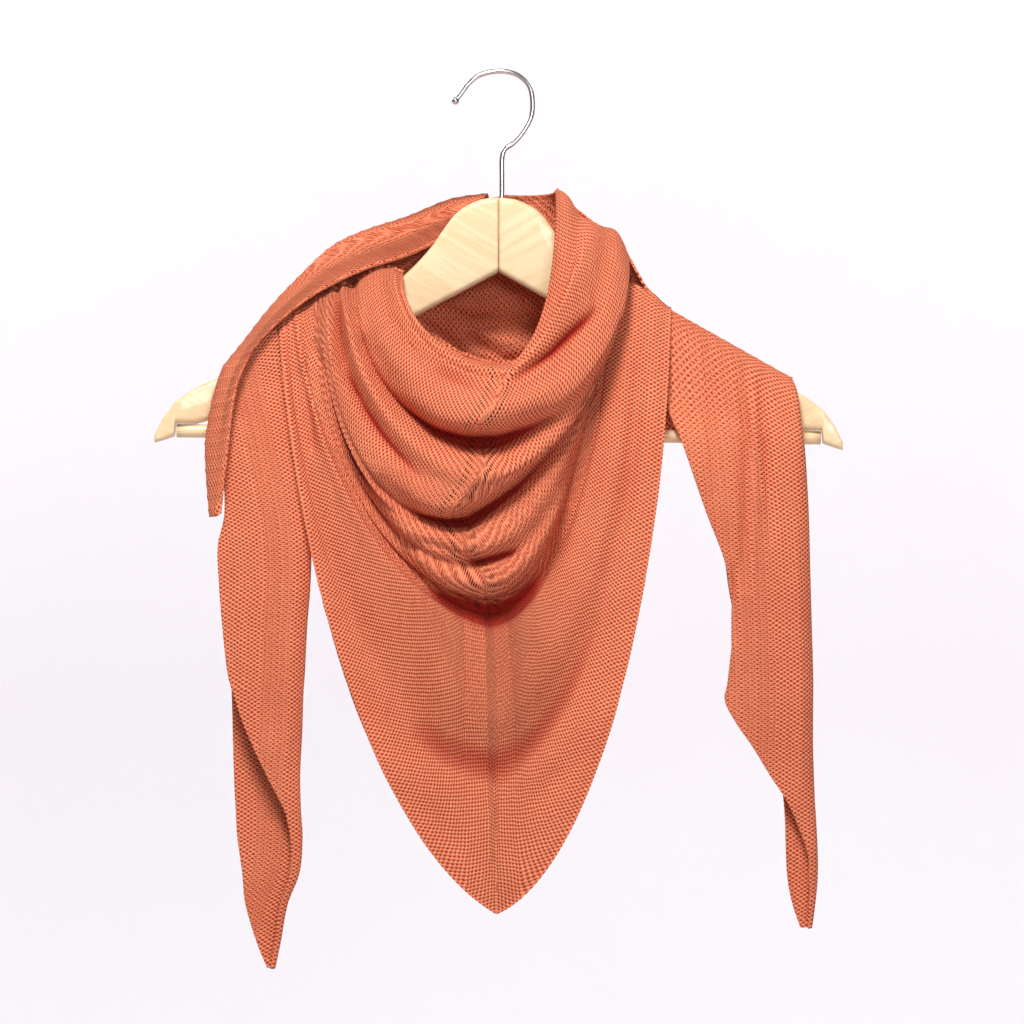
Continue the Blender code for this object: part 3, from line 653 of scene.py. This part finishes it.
def stitches_group():
    """Hand-knit relief. Plain stitch: columns of V legs, each leg a round strand with its cosine
    along a slanted line. Garter stitch: beads on a staggered lattice. A mask blends the two."""
    tree = bpy.data.node_groups.new("stitches", "ShaderNodeTree")
    tree.interface.new_socket(name="Place", in_out="INPUT", socket_type="NodeSocketVector")
    for name in ("Gauge", "Row Height", "Garter", "Ridge Pitch", "From Spine", "Eyelets"):
        tree.interface.new_socket(name=name, in_out="INPUT", socket_type="NodeSocketFloat")
    for name in ("Height", "Strand Shade", "Hole"):
        tree.interface.new_socket(name=name, in_out="OUTPUT", socket_type="NodeSocketFloat")
    given = node(tree, "NodeGroupInput")
    place = given.outputs["Place"]
    wobble = noise(tree, place, 9.0, 3.0, 0.9, -0.45)
    parts = node(tree, "ShaderNodeSeparateXYZ", {0: place})
    along = sums(tree, "MULTIPLY", parts.outputs[0], 100.0)
    across = sums(tree, "MULTIPLY", parts.outputs[1], 100.0)
    column = sums(tree, "ADD", sums(tree, "DIVIDE", along, given.outputs["Gauge"]), wobble)
    row = sums(tree, "ADD", sums(tree, "DIVIDE", across, given.outputs["Row Height"]), wobble)
    from_middle = off_middle(tree, column)
    strand = sums(tree, "SINE", sums(tree, "MULTIPLY", from_middle, 2 * np.pi))
    strand = sums(tree, "ABSOLUTE", strand)
    leg = sums(tree, "MULTIPLY_ADD", from_middle, -1.5, row)
    leg = sums(tree, "COSINE", sums(tree, "MULTIPLY", leg, 2 * np.pi))
    plain = sums(tree, "MULTIPLY", strand, sums(tree, "MULTIPLY_ADD", leg, 0.42, 0.5))
    plain = sums(tree, "ADD", plain, 0.16)
    bead = sums(tree, "COSINE", sums(tree, "MULTIPLY", column, 2 * np.pi))
    bead = sums(tree, "MULTIPLY", bead, sums(tree, "COSINE", sums(tree, "MULTIPLY", row, np.pi)))
    bead = sums(tree, "MULTIPLY_ADD", bead, 0.5, 0.5)
    ridge = off_middle(tree, sums(tree, "DIVIDE", across, given.outputs["Ridge Pitch"]))
    ridge = ramp(tree, ridge, 0.04, 0.16, 1.0, 0.0)
    purl = sums(tree, "MAXIMUM", given.outputs["Garter"], ridge)
    both = {"Factor": purl, "A": plain, "B": bead}
    blended = node(tree, "ShaderNodeMix", both, data_type="FLOAT").outputs[0]
    fibres = noise(tree, place, 160.0, 2.0, 0.5, -0.25)
    height = sums(tree, "ADD", blended, fibres)
    open_work = noise(tree, place, 2.2, 4.0, 0.5, 0.35)
    # Painted shade: the lower the strand, the darker the wool is coloured.
    strand_shade = sums(tree, "DIVIDE", sums(tree, "SUBTRACT", height, 0.12), open_work)
    from_spine = sums(tree, "MULTIPLY", given.outputs["From Spine"], 100.0)
    beside = sums(tree, "SUBTRACT", sums(tree, "ABSOLUTE", from_spine), EYELETS_BESIDE)
    beside = sums(tree, "LESS_THAN", sums(tree, "ABSOLUTE", beside), EYELETS_WIDTH)
    # Eyelet holes, filled with painted shade instead of being cut through.
    hole = sums(tree, "LESS_THAN", bead, 0.3)
    hole = sums(tree, "MULTIPLY", sums(tree, "MULTIPLY", hole, beside), given.outputs["Eyelets"])
    out = node(tree, "NodeGroupOutput", {"Height": height})
    tree.links.new(strand_shade, out.inputs["Strand Shade"])
    tree.links.new(hole, out.inputs["Hole"])
    return tree


def knit(name, garter_below, garter_above, ridge_pitch, eyelets, fold_shade_strength):
    """Terracotta wool: garter stitch near the edge and past a second line, plain stitch with
    purl ridges between. Painted shade darkens it between the strands, in the eyelets and in the
    folds' recesses."""
    made, shader = new_finish(name, 0.9, sheen=0.03)
    shader.inputs["Sheen Roughness"].default_value = 0.6
    shader.inputs["Sheen Tint"].default_value = (1.0, 0.5, 0.36, 1)
    shader.inputs["Specular IOR Level"].default_value = 0.12
    tree = made.node_tree
    place = node(tree, "ShaderNodeUVMap", uv_map="knit").outputs[0]
    where = node(tree, "ShaderNodeUVMap", uv_map="place").outputs[0]
    around = node(tree, "ShaderNodeSeparateXYZ", {0: where})
    from_edge = noise(tree, place, 1.5, 1.0, 0.06, around.outputs[1])
    below, above = garter_below * UV_SCALE, garter_above * UV_SCALE
    near_edge = ramp(tree, from_edge, below + 0.03, below + 0.06, 1.0, 0.0)
    far = ramp(tree, from_edge, above, above + 0.05, 0.0, 1.0)
    garter = sums(tree, "MAXIMUM", sums(tree, "MAXIMUM", near_edge, far), PLAIN_ROUGHNESS)
    work = node(tree, "ShaderNodeGroup", node_tree=stitches)
    work.inputs["Gauge"].default_value = GAUGE
    work.inputs["Row Height"].default_value = ROW_HEIGHT
    work.inputs["Ridge Pitch"].default_value = ridge_pitch
    work.inputs["Eyelets"].default_value = eyelets
    tree.links.new(around.outputs[0], work.inputs["From Spine"])
    tree.links.new(place, work.inputs["Place"])
    tree.links.new(garter, work.inputs["Garter"])
    fold_shade = node(tree, "ShaderNodeAttribute", attribute_name="fold_shade").outputs["Fac"]
    # painted shade between the strands
    colour = mixed(tree, work.outputs["Strand Shade"], STRAND_GAP_SHADE, KNIT_LIGHT)
    # painted shade in the folds' recesses, as strong as the fold_shade attribute says
    colour = mixed(tree, ramp(tree, fold_shade, 0.18, 0.65, 0.0, fold_shade_strength), colour, FOLD_SHADE_RED)
    # painted shade in the eyelets
    colour = mixed(tree, work.outputs["Hole"], colour, EYELET_SHADE)
    tree.links.new(colour, shader.inputs["Base Color"])
    bumped(tree, shader, work.outputs["Height"], 1.0, 0.001)
    return made


stitches = stitches_group()
cowl_knit = knit("terracotta_cowl", BORDER, PLAIN_END, RIDGE_PITCH, 1.0, 0.95)
front_knit = knit("terracotta_front", BORDER, NEVER, RIDGE_PITCH, 0.0, 0.9)
SIDE_STEPS = 80  # columns from an arm to the spine
WHOLE_STEPS = 4  # rows to each fold line where the place in the knitting is worked out
LAST_FOLD = len(FRONT) - 1
whole, _ = front_grid(0, LAST_FOLD, WHOLE_STEPS, SIDE_STEPS)
for name, first, last, steps_down, start, stands_for, flat, area in (
    ("cowl_swags", 0, POCKET, 14, None, "neck_cowl", (0.34, 0.2), 0.05),
    ("front_point_cloth", POCKET, LAST_FOLD, 34, 104, "front_point", (0.4, 0.2), 0.046),
):
    whole_places = knit_places(whole, SIDE_STEPS, "last", start)
    grid, numbers = front_grid(first, last, steps_down, SIDE_STEPS)
    grid = clear_of_hanger(creased(grid, numbers, FRONT_CREASES), -1)
    on_whole = numbers * WHOLE_STEPS
    u, v, from_spine = (
        np.stack([spline(u_half, on_whole) for u_half in whole_places[0]]),
        spline(whole_places[1], on_whole),
        spline(whole_places[2], on_whole),
    )
    normal = surface_normals(grid, (0, -1))
    height = relief(v, RIDGE_PITCH, RIDGE_HEIGHT) * (v > BORDER)
    raised = grid + normal * height[..., None]
    # Painted shadow in the pocket under the cowl's last swag, near the spine, joined to the painted
    # shade in the folds.
    in_pocket = np.exp(-(((numbers - POCKET) / POCKET_ROWS) ** 2))[:, None]
    in_pocket = in_pocket * np.exp(-(((grid[..., 0] - POCKET_CENTRE) / POCKET_HALF_WIDTH) ** 4))
    fold_shade = np.maximum(painted_fold_shade(grid, steps_down), in_pocket)
    finish = cowl_knit if name == "cowl_swags" else front_knit
    cloth = name, raised, normal, finish, stands_for, (u, v, from_spine), fold_shade
    piece = add_cloth(*cloth, SIDE_STEPS)


# The band: the other end of the shawl, brought from behind over the left arm, its edge rolled
# under. Plain stitch with purl ridges that run along it.
# Rear edge x, y, z; crown x, y, z; front edge x, y, z
BAND = (
    (-6, 22, -88, -6, 18, -76.5, -20, 9, -98),
    (-30, 22, -94, -30, 17, -80.5, -40, 9, -109),
    (-58, 22, -105, -58, 10, -92.5, -60, -2, -119),
    (-84, 20, -117, -84, 5, -101.5, -84, -12, -127.5),
    (-106, 16, -131, -106, 1, -112.5, -104, -17, -137),
    (-128, 10, -149, -128, -4, -133.5, -122, -21, -148),
    (-146, 4, -166, -146, -9, -153.5, -140, -26, -163),
    (-160, 0, -181, -162.5, -15, -175.5, -153, -31, -177),
    (-168, -8, -187.5, -169.5, -20, -184.5, -159, -33, -188),
    (-172.5, -18, -190.5, -173.8, -26, -191, -161.5, -36, -194),
    (-176, -26, -198, -177, -31, -201.5, -164, -39, -201),
    (-180, -29, -216, -181.5, -35, -220, -167, -43, -218),
    (-182, -31, -240, -183.5, -38, -240, -169, -47, -238),
    (-181, -33, -262, -182.5, -42, -262, -171.5, -50, -262),
    (-179.5, -35, -286, -180.5, -44, -286, -174, -51, -284),
)
BAND_SECTIONS_ON_BACK = 8
BAND_BULGE = (0.14, 0.2, 0)  # of its shoulder, as a share of its width
BAND_STEPS = (16, 36)  # to each row of the table, and between its lines
BAND_RIDGE_PITCH = 8.5
BAND_RIDGE_HEIGHT = 0.45
BAND_EDGE = 4.0


def band_grid(steps_down, steps_across):
    """Sections through rear edge, crown, bulging shoulder and lower edge."""
    rows = through(BAND, steps_down)
    rear, crown, edge = rows[:, 0:3], rows[:, 3:6], rows[:, 6:9]
    shoulder = crown * 0.5 + edge * 0.5 + (edge - rear) * BAND_BULGE
    return through(np.stack([rear, crown, shoulder, edge]), steps_across)


grid = band_grid(*BAND_STEPS)
u, v, from_spine = knit_places(grid.transpose(1, 0, 2)[::-1], 0, "first")
normal = surface_normals(grid)
places = tuple(part.T[:, ::-1] for part in (u[0], v, from_spine))
raised = grid + normal * relief(places[1], BAND_RIDGE_PITCH, BAND_RIDGE_HEIGHT)[..., None]
# painted shade in the band's folds
fold_shade = painted_fold_shade(raised.transpose(1, 0, 2), 3).T
band_knit = knit("terracotta_band", BAND_EDGE, NEVER, BAND_RIDGE_PITCH, 0.0, 0.6)
piece = add_cloth("band_over_arm", raised, normal, band_knit, "left_band", places, fold_shade)


# The tails: each end hangs from an arm, folded lengthwise, with the front layer's finished edge
# running down across it to the tip. Ribbed along its length, garter stitch along the edge.
# The fold's x, y, z; the front leaf's free edge x, y, z; the back leaf's free edge x; the fold's
# radius; lean, 1 where the leaves lie above each other and 0 where the back leaf is behind
LEFT_TAIL = (
    (-141.5, -20.4, -165, -161.5, -23.2, -181, -149, 1.5, 0),
    (-136, -21, -193, -168, -28, -203, -148, 1.5, 0),
    (-133.5, -25, -208, -173, -32, -216, -150, 2, 0),
    (-127.5, -33, -240, -174, -38, -244, -152, 3, 0),
    (-120.5, -41, -280, -172.5, -41.5, -283, -156, 6, 0),
    (-118.5, -45, -303, -176.5, -44, -305, -160, 8, 0),
    (-119, -49, -330, -175.3, -47, -331, -165, 10, 0),
    (-121, -50, -355, -173.2, -48, -356, -170, 11, 0),
    (-122.5, -50, -384, -170, -49, -384, -169.7, 12, 0),
    (-123.5, -50, -398, -166, -50, -398, -169.2, 12, 0),
    (-124.3, -50, -424, -157, -50, -424, -168.5, 12, 0),
    (-125.5, -49, -450, -145, -49, -450, -167.5, 10, 0),
    (-125, -47, -472, -134, -47, -472, -166.3, 8, 0),
    (-124, -45, -490, -128.5, -45, -490, -165, 6, 0),
    (-126, -42, -512, -130, -42, -512, -162, 4.5, 0),
    (-133.5, -40, -532, -137, -40, -532, -160, 3.5, 0),
    (-138, -38, -556, -141, -38, -556, -153, 2.5, 0),
    (-141.5, -37, -573, -143.5, -37, -573, -146, 1.8, 0),
)
RIGHT_TAIL = (
    (189, -19.5, -198, 110.5, -8.6, -152.5, 176, 1.5, 1),
    (191, -30, -206, 109.5, -16.2, -168, 176, 1.6, 0.3),
    (193, -40, -226, 108.5, -25, -212, 178, 4, 0),
    (195, -46, -245, 118, -40, -240, 179, 7, 0),
    (197, -50, -282, 132, -49, -282, 179, 9, 0),
    (198, -52, -318, 145, -51, -318, 178, 11, 0),
    (199, -52, -352, 149, -52, -352, 177, 12, 0),
    (200, -52, -388, 146, -52, -388, 177, 12, 0),
    (200, -52, -402, 144, -52, -402, 178, 12, 0),
    (200, -51, -416, 151, -51, -416, 179, 12, 0),
    (200, -50, -432, 162, -50, -432, 180, 11, 0),
    (200.5, -49, -450, 173, -49, -450, 181, 10, 0),
    (201, -48, -465, 183, -48, -465, 182.5, 8, 0),
    (202, -46, -480, 190, -46, -480, 183.5, 6.5, 0),
    (203, -44, -500, 197, -44, -500, 184, 5, 0),
    (203, -42, -516, 198, -42, -516, 185, 4, 0),
    (201.5, -41, -532, 198, -41, -532, 188, 3, 0),
    (199.5, -40, -547, 197.5, -40, -547, 193, 1.8, 0),
)
TAIL_STEPS = 16  # rows to each row of the table
TAIL_COLUMNS = 100
TAIL_RIDGE_PITCH = 9.5
TAIL_RIDGE_HEIGHT = 0.35
TAIL_EDGE = 5  # strip along the rim without ridges
LEAST_FOLD_RADIUS = 1.4
# Creases on the front leaf: half width, depth, then x and z of points along
LEFT_TAIL_CREASES = (
    (6, 3, (-152, -215), (-143, -300), (-140, -420)),
    (5, -2, (-163, -300), (-158, -420)),
)
RIGHT_TAIL_CREASES = (
    (4, 3, (133, -180), (140, -270)),
    (3.5, 3.5, (158, -190), (156, -330)),
    (3, -2, (163, -195), (162, -320)),
    (3.5, 3.5, (169, -195), (172, -300)),
    (3, 4, (150, -318), (148, -365)),
)


def tail_grid(rows, creases, steps_down, steps_across):
    """A ribbon folded lengthwise: flat back leaf, half circle of the fold, flat front leaf.

    With each point comes its way down the tail, its distance from the fold and from the rim.
    """
    rows = through(rows, steps_down)
    fold, edge, back_x = rows[:, 0:3], rows[:, 3:6], rows[:, 6]
    radius, lean = np.maximum(rows[:, 7], LEAST_FOLD_RADIUS), rows[:, 8].clip(0, 1)
    side = np.sign(fold[:, 0] - edge[:, 0])
    back_leaf = np.maximum(side * (fold[:, 0] - back_x) - radius, 1.0)
    front_leaf = np.maximum(side * (fold[:, 0] - edge[:, 0]) - radius, 0.5)
    length = back_leaf + np.pi * radius + front_leaf
    s = np.linspace(0, 1, steps_across + 1)[None, :] * length[:, None]
    turn = ((s - back_leaf[:, None]) / radius[:, None]).clip(0, np.pi)
    past = (s - (back_leaf + np.pi * radius)[:, None]).clip(0, None)
    before = (back_leaf[:, None] - s).clip(0, None)
    inwards = radius[:, None] * (1 - np.sin(turn)) + before + past
    behind = radius[:, None] * (1 + np.cos(turn))
    slope = (edge - fold) / np.abs(edge[:, :1] - fold[:, :1])
    points = fold[:, None, :] + inwards[..., None] * slope[:, None, :]
    tilt = lean[:, None] * np.pi / 2
    points[..., 1] += behind * np.cos(tilt)
    points[..., 2] -= behind * np.sin(tilt)
    front = (turn > np.pi / 2)[..., None]
    everywhere = [(0, len(rows), *crease) for crease in creases]
    points = np.where(front, creased(points, np.arange(len(rows)), everywhere), points)
    from_fold = np.abs(s - (back_leaf + np.pi / 2 * radius)[:, None])
    run = np.linalg.norm(np.diff(fold, axis=0), axis=1)
    down = np.concatenate([[0], np.cumsum(run)])[:, None] + 0 * s
    return points, down, from_fold, np.minimum(s, length[:, None] - s)


def rows_middle(rows):
    """The depth half way between the front and the back leaf, for each row of a tail's grid."""
    rows = through(rows, TAIL_STEPS)
    return rows[:, 1] + np.maximum(rows[:, 7], LEAST_FOLD_RADIUS)


for name, rows, creases, stands_for, arm, garter_below, garter_above in (
    ("tail_left", LEFT_TAIL, LEFT_TAIL_CREASES, "left_tail", "maple_arm_left", 14.0, 34.0),
    ("tail_right", RIGHT_TAIL, RIGHT_TAIL_CREASES, "right_tail", "maple_arm_right", 30.0, NEVER),
):
    tail_knit = knit(f"terracotta_{name}", garter_below, garter_above, TAIL_RIDGE_PITCH, 0.0, 0.7)
    grid, down, from_fold, from_rim = tail_grid(rows, creases, TAIL_STEPS, TAIL_COLUMNS)
    normal = surface_normals(grid)
    height = relief(from_fold, TAIL_RIDGE_PITCH, TAIL_RIDGE_HEIGHT) * (from_rim > TAIL_EDGE)
    raised = grid + normal * height[..., None]
    # painted shade in the folds of the front leaf
    fold_shade = painted_fold_shade(grid.transpose(1, 0, 2), 8).T * (grid[..., 1] < rows_middle(rows)[:, None])
    places = (down, from_fold, down)
    cloth = name, raised, normal, tail_knit, stands_for, places, fold_shade
    piece = add_cloth(*cloth, from_rim=from_rim)


# The back: behind the neck the two ends of the shawl cross, one close to the hanger and the other
# hanging loosely outside it, each in soft swags.
BACK_BEHIND_BAND = (0, 0.55, 5)  # the outer cloth's start, from the band's rear edge
INNER_BACK_RAISED = 1.5  # lift of the inner cloth above the front's fold lines
BACK_ROWS = 141
BACK_STEPS = 70
# Where the outer cloth passes over the right arm: x, lift above the arm
BACK_ON_ARM = (
    (38, 28),
    (54, 33.5),
    (70, 36.5),
    (77, 36),
    (88, 23),
    (95.5, 14),
    (104, 10),
    (111.5, 8),
)


def back_grid(left, low_first, low_last, right, pleats, quick_left, steps):
    """Fold lines that hang behind the hanger, their lowest points in a row with round pleats."""
    count = len(left)
    share = np.linspace(0, 1, count)[:, None]
    low = np.array(low_first) * (1 - share) + np.array(low_last) * share
    low[:, 1] += pleats * np.sin(np.pi * np.linspace(0, 14, count) / 2)
    depth = (low_first[1] + low_last[1]) / 2
    full, flat = np.linspace(1.0, 0.85, count), np.zeros(count)
    u = np.linspace(0, 1, steps + 1)
    left_half = hang(left, low, full, flat, depth, quick_left, u)
    right_half = hang(right, low, full, flat, depth, DRAPE_QUICKNESS, u[:-1])
    return np.concatenate([left_half, right_half[:, ::-1]], axis=1)


# Creases, with the same columns as the front's
BACK_CREASES = (
    (0, 28, 3, 5, (-31.6, -148.1), (-18.9, -155.2), (-4.7, -155.2)),
    (0, 28, 3, 6, (-18.9, -163.6), (-11.8, -172.1), (3.7, -182), (19.3, -184.1)),
    (0, 28, 3.5, 7, (-47.2, -159.4), (-33, -169.3), (-20.3, -182), (9.4, -190.5)),
    (0, 28, 4, -4, (-27.4, -159.4), (-13.2, -165.1), (20.7, -174.9)),
)
back_knit = knit("terracotta_back", 30.0, NEVER, RIDGE_PITCH, 0.0, 0.35)
share = np.linspace(0, 1, BACK_ROWS)
table = spline(FRONT, share * LAST_FOLD)
inner_left = crest(table[:, 0], table[:, 1] + INNER_BACK_RAISED, 1)
tail_fold, tail_edge = np.array(RIGHT_TAIL[0][:3]), np.array(RIGHT_TAIL[0][3:6])
inner_right = tail_edge * (1 - share[:, None]) + tail_fold * share[:, None] + (0, 0.4, 0)
on_arm = spline(BACK_ON_ARM, share * (len(BACK_ON_ARM) - 1))
outer_right = crest(on_arm[:, 0], on_arm[:, 1], 1)
rear_edge = np.array(BAND)[:BAND_SECTIONS_ON_BACK, 0:3]
outer_left = spline(rear_edge, share * (BAND_SECTIONS_ON_BACK - 1)) + BACK_BEHIND_BAND
# Left ends, first and last lowest point, right ends, height of the pleats, quickness on the left
inner = inner_left, (20, 12, -188), (20, 22, -245), inner_right, 2.0, DRAPE_QUICKNESS
outer = outer_left, (5, 28, -76), (-30, 40, -212), outer_right, 2.5, 1.0
for name, stands_for, level, shape in (
    ("back_inner_cloth", "back_cross_inner", (0, -1), inner),
    ("back_outer_cloth", "back_cross_outer", (-1,), outer),
):
    grid = clear_of_hanger(back_grid(*shape, BACK_STEPS), 1)
    u, v, from_spine = knit_places(grid, 0, "last")
    grid = clear_of_hanger(creased(grid, share * LAST_FOLD, BACK_CREASES), 1)
    normal = surface_normals(grid, level)
    raised = grid + normal * relief(v, RIDGE_PITCH, RIDGE_HEIGHT)[..., None]
    # painted shade in the back's folds, at a lesser strength
    fold_shade = painted_fold_shade(grid, 7) * 0.6
    piece = add_cloth(name, raised, normal, back_knit, stands_for, (u[0], v, from_spine), fold_shade)


# The studio: a pale floor that curves up into a wall well behind the hanger, soft light from the
# front and above, and a camera level with the cowl.
PAPER = (0.9, 0.87, 0.91, 1)
PAPER_MOTTLE = (0.9, 0.88, 0.91, 1)
CAMERA_AT = (0.0097, -2.2, -0.283)
CAMERA_LENS = 119.7
FLOOR_HEIGHT = -1.15
FLOOR_FRONT = -3.2
WALL_AT = 3.0
WALL_HEIGHT = 4.2
SWEEP_RADIUS = 0.6
SWEEP_HALF_WIDTH = 4.0


def backdrop():
    """A sheet carried along X: floor, quarter circle, wall."""
    turn = np.linspace(0, np.pi / 2, 24)
    y = WALL_AT - SWEEP_RADIUS * (1 - np.sin(turn))
    z = SWEEP_RADIUS * (1 - np.cos(turn))
    points = np.zeros((2, len(turn) + 2, 3))
    points[..., 0] = ((-SWEEP_HALF_WIDTH,), (SWEEP_HALF_WIDTH,))
    points[..., 1] = np.concatenate([(FLOOR_FRONT,), y, (WALL_AT,)])
    points[..., 2] = np.concatenate([(0.0,), z, (WALL_HEIGHT,)]) + FLOOR_HEIGHT
    at = np.arange(points.size // 3).reshape(2, -1)
    faces = np.stack([at[0, :-1], at[1, :-1], at[1, 1:], at[0, 1:]], axis=1)
    mesh = bpy.data.meshes.new("studio_sweep")
    mesh.from_pydata(points.reshape(-1, 3).tolist(), [], faces.tolist())
    mesh.shade_smooth()
    sweep = bpy.data.objects.new("studio_sweep", mesh)
    bpy.context.scene.collection.objects.link(sweep)
    return sweep


paper, shader = new_finish("pale_paper", 0.95)
tree = paper.node_tree
place = node(tree, "ShaderNodeTexCoord").outputs["Object"]
mottle = node(tree, "ShaderNodeTexNoise", {"Vector": place, "Scale": 3.0, "Detail": 4.0})
colour = mixed(tree, mottle.outputs["Fac"], PAPER, PAPER_MOTTLE)
tree.links.new(colour, shader.inputs["Base Color"])
backdrop().data.materials.append(paper)


def soft_light(name, at, towards, size, power, colour):
    """A square area light that faces a point."""
    lamp = bpy.data.lights.new(name, "AREA")
    lamp.shape = "SQUARE"
    lamp.size = size
    lamp.energy = power
    lamp.color = colour
    lit = bpy.data.objects.new(name, lamp)
    lit.location = at
    direction = np.array(towards, float) - np.array(at, float)
    lit.rotation_mode = "QUATERNION"
    lit.rotation_quaternion = Vector(direction).to_track_quat("-Z", "Y")
    bpy.context.scene.collection.objects.link(lit)


WORLD_TINT = (1.0, 0.985, 0.98, 1)
WORLD_STRENGTH = 0.2

soft_light("key", (-0.2, -1.05, 0.9), (0, 0, -0.25), 0.4, 28.0, (1.0, 0.97, 0.93))
soft_light("fill", (0.4, -2.1, 0.1), (0, 0, -0.3), 0.5, 12.5, (1.0, 0.98, 1.0))
soft_light("wall_left", (-2.0, 1.3, 1.5), (-0.5, 3.0, -0.2), 1.2, 42.0, (1.0, 1.0, 1.0))
soft_light("wall_right", (2.0, 1.3, 1.5), (0.5, 3.0, -0.2), 1.2, 42.0, (1.0, 0.99, 1.0))
world = bpy.data.worlds.new("studio_world")
world.use_nodes = True
background = world.node_tree.nodes["Background"]
background.inputs["Color"].default_value = WORLD_TINT
background.inputs["Strength"].default_value = WORLD_STRENGTH
bpy.context.scene.world = world
bpy.context.scene.view_settings.view_transform = "Standard"

lens = bpy.data.cameras.new("camera")
lens.lens = CAMERA_LENS
lens.sensor_width = 36
camera = bpy.data.objects.new("camera", lens)
camera.location = CAMERA_AT
camera.rotation_euler = (np.pi / 2, 0, 0)
bpy.context.scene.collection.objects.link(camera)
bpy.context.scene.camera = camera
